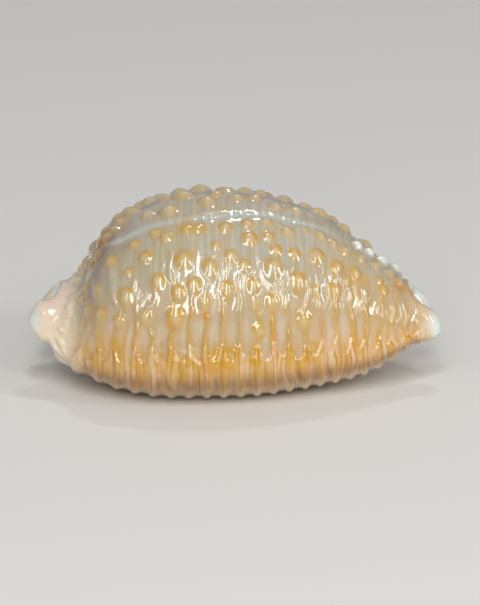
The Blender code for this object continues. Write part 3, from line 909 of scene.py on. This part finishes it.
class Wiring:
    """Adds nodes to a tree and joins them, from left to right."""

    def __init__(self, tree):
        self.tree = tree
        self.column = 0

    def fill(self, made, inputs):
        for name, value in inputs.items():
            if isinstance(value, bpy.types.NodeSocket):
                self.tree.links.new(value, made.inputs[name])
            else:
                made.inputs[name].default_value = value

    def node(self, kind, inputs=None, **settings):
        made = self.tree.nodes.new(kind)
        self.column += 1
        made.location = (self.column * 180, 0)
        for name, value in settings.items():
            setattr(made, name, value)
        self.fill(made, inputs or {})
        return made

    def mask(self, name):
        return self.node("ShaderNodeAttribute", attribute_name=name).outputs["Fac"]

    def maths(self, operation, *values, clamp=False):
        inputs = dict(enumerate(values))
        return self.node("ShaderNodeMath", inputs, operation=operation, use_clamp=clamp).outputs[0]

    def blend(self, share, first, second):
        inputs = {"Factor": share, "A": first, "B": second}
        return self.node("ShaderNodeMix", inputs, data_type="RGBA").outputs["Result"]

    def smooth_step(self, value, start, end):
        inputs = {"Value": value, "From Min": start, "From Max": end}
        made = self.node("ShaderNodeMapRange", inputs, interpolation_type="SMOOTHSTEP")
        return made.outputs["Result"]

    def noise(self, place, scale, detail):
        inputs = {"Vector": place, "Scale": scale, "Detail": detail}
        return self.node("ShaderNodeTexNoise", inputs).outputs["Fac"]

    def group(self, tree, **inputs):
        return self.node("ShaderNodeGroup", inputs, node_tree=tree).outputs[0]

    def here(self):
        return self.node("ShaderNodeTexCoord").outputs["Object"]


def new_group(name, inputs, output):
    """A node group, its wiring and the sockets of its input node; all are for numbers."""
    group = bpy.data.node_groups.new(name, "ShaderNodeTree")
    for label in inputs:
        group.interface.new_socket(label, in_out="INPUT", socket_type="NodeSocketFloat")
    group.interface.new_socket(output, in_out="OUTPUT", socket_type="NodeSocketFloat")
    wires = Wiring(group)
    return group, wires, wires.node("NodeGroupInput").outputs


def clouds_group():
    """Node group: soft clouds or fine grain, from 0 to 1, of a size in metres."""
    group, wires, given = new_group("enamel_clouds", ("Size", "Detail"), "Cloud")
    scale = wires.maths("DIVIDE", 1.0, given["Size"])
    noise = wires.noise(wires.here(), scale, given["Detail"])
    wires.node("NodeGroupOutput", {"Cloud": wires.smooth_step(noise, 0.35, 0.65)})
    return group


def drips_group():
    """Node group: noise drawn out down the flanks, from 0 to 1.

    Its place is (Along * Across + Shift, around * Down, Shift), where Along counts ribs.
    """
    inputs = ("Along", "Across", "Down", "Shift")
    group, wires, given = new_group("enamel_drips", inputs, "Drip")
    across = wires.maths("MULTIPLY_ADD", given["Along"], given["Across"], given["Shift"])
    down = wires.maths("MULTIPLY", wires.mask("around"), given["Down"])
    place = wires.node("ShaderNodeCombineXYZ", {"X": across, "Y": down, "Z": given["Shift"]})
    noise = wires.noise(place.outputs["Vector"], 1.0, 1.5)
    wires.node("NodeGroupOutput", {"Drip": wires.smooth_step(noise, 0.36, 0.64)})
    return group


def enamel_material(colours):
    """Glossy, slightly clear enamel: masks of the mesh choose its colours, noise varies them."""
    material = bpy.data.materials.new("cowrie_enamel")
    material.use_nodes = True
    material.node_tree.nodes.clear()
    wires = Wiring(material.node_tree)
    mask = wires.mask
    cloud_tree, drip_tree = clouds_group(), drips_group()
    axes = wires.node("ShaderNodeSeparateXYZ", {"Vector": wires.here()})
    upright = wires.maths("DIVIDE", axes.outputs["X"], LENGTH / RIBS * MM)
    lines = mask("lines")
    ribs = wires.maths("DIVIDE", lines, LINES_PER_RIB)

    def clouds(name):
        size, detail = CLOUDS[name]
        return wires.group(cloud_tree, Size=size * MM, Detail=detail)

    def drips(name, along=upright):
        across, down, shift = DRIPS[name]
        return wires.group(drip_tree, Along=along, Across=across, Down=down, Shift=shift)

    def flat(name):
        return (*getattr(colours, name), 1.0)

    def most(share, least):
        return wires.maths("MULTIPLY_ADD", share, 1 - least, least)

    wide, small = clouds("wide"), clouds("small")
    spotted = most(small, 0.6)
    front, low, under = mask("front"), mask("low"), mask("underside")
    line = wires.smooth_step(wires.maths("PINGPONG", lines, 0.5), 0.24, 0.0)
    above = wires.maths("SUBTRACT", 1.0, under)
    mixed = {
        "margin": wires.blend(drips("margin", ribs), flat("margin"), flat("margin_pale")),
        "callus": wires.blend(wide, flat("callus"), flat("blush")),
    }
    # From the lowest coat up: colour, amount, and the shares that are multiplied
    coats = (
        ("stain", 0.20, drips("warmth")),
        ("hairline", 0.36, drips("hairline")),
        ("front", 0.85, front, most(drips("front"), 0.2)),
        ("stain", 0.40, front, drips("front_stain")),
        ("hind", 0.85, mask("hind"), most(drips("hind"), 0.4)),
        ("shade", 1.0, mask("shade"), spotted),
        ("flank", 0.75, low),
        ("stain", 0.35, low, drips("low_stain")),
        ("trough", 0.9, mask("trough"), most(drips("trough"), 0.35)),
        ("margin", 1.0, mask("margin")),
        ("stain", 1.1, mask("stain"), most(clouds("stain"), 0.45)),
        ("blotch", 1.0, mask("blotch"), spotted),
        ("knob", 0.60, mask("knob_top")),
        # Paler ridge crests: partly their own colour, partly a painted highlight
        ("hairline", 0.35, mask("crest")),
        ("furrow", 0.95, mask("furrow")),
        # Painted shade over the margin's lower half, streaked along the ribs
        ("painted_margin_shade", 0.95, mask("painted_margin_shade"), most(drips("painted_margin_shade", ribs), 0.5)),
        ("underside", 1.0, under),
        ("groove", 0.80, line, mask("shelf"), most(drips("line", ribs), 0.10), above),
        ("groove", 0.7, mask("groove")),
        ("stain", 0.8, mask("ochre"), spotted),
        ("callus", 1.0, mask("callus")),
        ("pearl", 1.0, mask("knuckle")),
        ("pearl", 1.0, mask("bead")),
    )
    colour = wires.blend(wide, flat("back"), flat("back_warm"))
    for name, amount, share, *others in coats:
        for other in others:
            share = wires.maths("MULTIPLY", share, other)
        share = wires.maths("MULTIPLY", share, amount, clamp=True)
        colour = wires.blend(share, colour, mixed.get(name, flat(name)))

    ripple = wires.node("ShaderNodeBump", RIPPLE | {"Height": clouds("ripple")})
    enamel = wires.node("ShaderNodeBsdfPrincipled", FINISH | {
        "Base Color": colour,
        "Roughness": wires.maths("MULTIPLY_ADD", small, 0.06, 0.13),
        "Normal": ripple.outputs["Normal"],
    })
    wires.node("ShaderNodeOutputMaterial", {"Surface": enamel.outputs["BSDF"]})
    return material


def floor_material(colour):
    """Matt pale floor with a faint cloud in its tone."""
    material = bpy.data.materials.new("pale_floor")
    material.use_nodes = True
    wires = Wiring(material.node_tree)
    darker = tuple(value * FLOOR_DARKER for value in colour)
    noise = wires.noise(wires.here(), FLOOR_CLOUDS, 2.0)
    tone = wires.blend(noise, (*colour, 1.0), (*darker, 1.0))
    finish = material.node_tree.nodes["Principled BSDF"]
    wires.fill(finish, {"Base Color": tone, "Roughness": FLOOR_ROUGHNESS})
    return material


def new_object(name, data):
    """An object linked to the scene."""
    made = bpy.data.objects.new(name, data)
    bpy.context.collection.objects.link(made)
    return made


def soft_light(name, target, place, width, height, power):
    """A soft light of a width and height at a place, facing the target."""
    light = bpy.data.lights.new(name, "AREA")
    light.shape = "RECTANGLE"
    light.size, light.size_y = width, height
    light.energy = power
    lamp = new_object(name, light)
    lamp.location = place
    lamp.rotation_euler = (Vector(target) - Vector(place)).to_track_quat("-Z", "Y").to_euler()


def floor_mesh(half):
    """A flat square floor."""
    mesh = bpy.data.meshes.new("floor")
    corners = [(-half, -half, 0.0), (half, -half, 0.0), (half, half, 0.0), (-half, half, 0.0)]
    mesh.from_pydata(corners, [], [(0, 1, 2, 3)])
    return mesh


class COWRIE_OT_make_shell(bpy.types.Operator):
    """Make the finished shell in place of the plain one."""

    bl_idname = "cowrie.make_shell"
    bl_label = "Make shell"

    def execute(self, context):
        mesh = shell_mesh(context.scene.cowrie_relief)
        close_seams(mesh)
        mesh.materials.append(enamel_material(context.scene.cowrie_colours))
        shell = new_object("cowrie_shell", mesh)
        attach(shell, "root")
        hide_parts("shell")
        return {"FINISHED"}


class COWRIE_OT_set_stage(bpy.types.Operator):
    """Make the pale floor, the soft lights and the camera."""

    bl_idname = "cowrie.set_stage"
    bl_label = "Set stage"

    def execute(self, context):
        studio = context.scene.cowrie_studio
        floor = new_object("floor", floor_mesh(FLOOR_HALF_WIDTH))
        floor.data.materials.append(floor_material(studio.floor_colour))

        middle = (0.0, 0.0, 0.5 * HEIGHT * MM)
        for name, values in LIGHTS.items():
            soft_light(name, middle, *values)
        world = bpy.data.worlds.new("studio")
        world.use_nodes = True
        Wiring(world.node_tree).fill(world.node_tree.nodes["Background"], SKY)
        context.scene.world = world

        target = Vector((studio.aim_along, 0.0, studio.aim_height))
        back = Vector((0.0, -math.cos(studio.elevation), math.sin(studio.elevation)))
        lens = bpy.data.cameras.new("camera")
        lens.sensor_fit = "HORIZONTAL"
        lens.sensor_width = SENSOR_WIDTH
        lens.lens = lens.sensor_width * studio.camera_distance / studio.frame_width
        lens.clip_start, lens.clip_end = CLIP_RANGE
        camera = new_object("camera", lens)
        camera.location = target + back * studio.camera_distance
        camera.rotation_euler = (-back).to_track_quat("-Z", "Y").to_euler()
        context.scene.camera = camera
        context.scene.view_settings.view_transform = "Standard"
        return {"FINISHED"}


class COWRIE_PT_panel(bpy.types.Panel):
    """Sidebar panel that lists the operators and their values."""

    bl_idname = "COWRIE_PT_panel"
    bl_label = "Nucleus cowrie"
    bl_space_type = "VIEW_3D"
    bl_region_type = "UI"
    bl_category = "Cowrie"

    def draw(self, context):
        for kind in (COWRIE_OT_make_shell, COWRIE_OT_set_stage):
            self.layout.operator(kind.bl_idname)
        for group in GROUPS:
            values = getattr(context.scene, group)
            box = self.layout.box()
            for name in values.__annotations__:
                box.prop(values, name)


GROUPS = {
    "cowrie_relief": CowrieRelief, "cowrie_colours": CowrieColours, "cowrie_studio": CowrieStudio,
}
CLASSES = (*GROUPS.values(), COWRIE_OT_make_shell, COWRIE_OT_set_stage, COWRIE_PT_panel)


def register():
    for kind in CLASSES:
        bpy.utils.register_class(kind)
    for name, kind in GROUPS.items():
        setattr(bpy.types.Scene, name, bpy.props.PointerProperty(type=kind))


def unregister():
    for name in GROUPS:
        delattr(bpy.types.Scene, name)
    for kind in reversed(CLASSES):
        bpy.utils.unregister_class(kind)


def main():
    register()
    bpy.ops.cowrie.make_shell()
    bpy.ops.cowrie.set_stage()


if __name__ == "__main__":
    main()
